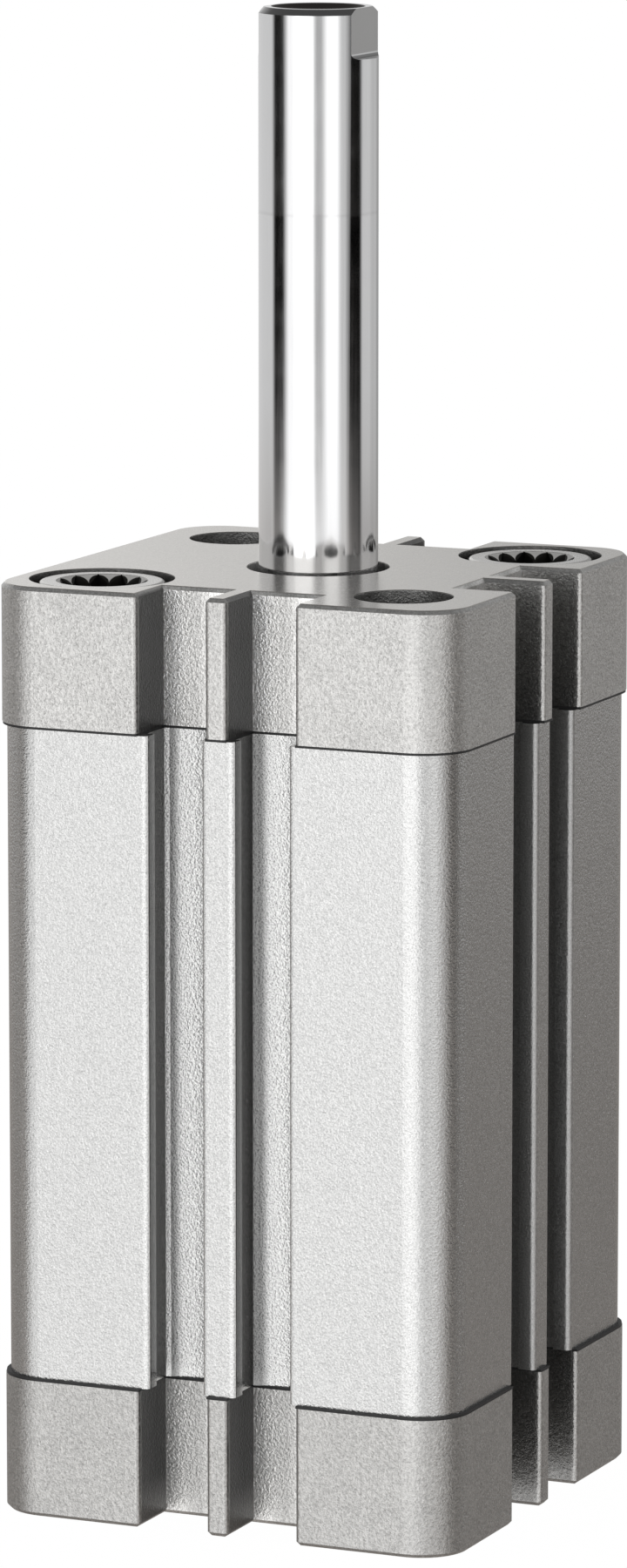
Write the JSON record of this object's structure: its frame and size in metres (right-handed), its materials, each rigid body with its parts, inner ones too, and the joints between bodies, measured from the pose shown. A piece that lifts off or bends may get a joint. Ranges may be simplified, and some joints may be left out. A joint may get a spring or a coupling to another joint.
{
  "type": "compact pneumatic cylinder",
  "caption": "Square compact double-acting air cylinder with a slotted barrel between two cast caps and an extending round piston rod.",
  "frame": {"origin": "centre of the end cap's resting face", "axes": "+Z along the piston rod towards its threaded end, both air ports on -X"},
  "size_m": [0.05, 0.05, 0.15],
  "materials": {
    "cast_cap": "blasted die casting with a machined face",
    "barrel_alloy": "satin anodised extrusion",
    "chromed_rod": "hard chromed and polished",
    "screw_steel": "zinc plated, turned",
    "black_rubber": "matt black rubber",
    "bush_bronze": "sintered bronze",
    "piston_alloy": "turned",
    "magnet_compound": "plastic-bonded magnet",
    "guide_plastic": "filled bearing plastic"
  },
  "bodies": {
    "housing": {"barrel": "barrel_alloy", "end_cap": "cast_cap", "bearing_cap": "cast_cap", "rear_gasket": "black_rubber", "front_gasket": "black_rubber", "rear_cap_screws": "screw_steel", "front_cap_screws": "screw_steel", "rear_bumper": "black_rubber", "front_bumper": "black_rubber", "rod_bush": "bush_bronze", "rod_seal": "black_rubber", "rod_wiper": "black_rubber"},
    "seal_carrier": {"front_piston_seal": "black_rubber", "rear_piston_seal": "black_rubber", "piston_guide_ring": "guide_plastic"},
    "rod": {"piston_rod": "chromed_rod", "piston_front_disc": "piston_alloy", "piston_rear_disc": "piston_alloy", "piston_magnet": "magnet_compound", "piston_rod_oring": "black_rubber", "piston_nut": "screw_steel"}
  },
  "joints": [
    {"name": "rod_slide", "type": "slide", "parent": "housing", "child": "seal_carrier", "axis": [0, 0, 1], "range_m": [-0.05, 0]},
    {"name": "rod_turn", "type": "hinge", "parent": "seal_carrier", "child": "rod", "pos_m": [0, 0, 0.09], "axis": [0, 0, 1], "continuous": true}
  ]
}
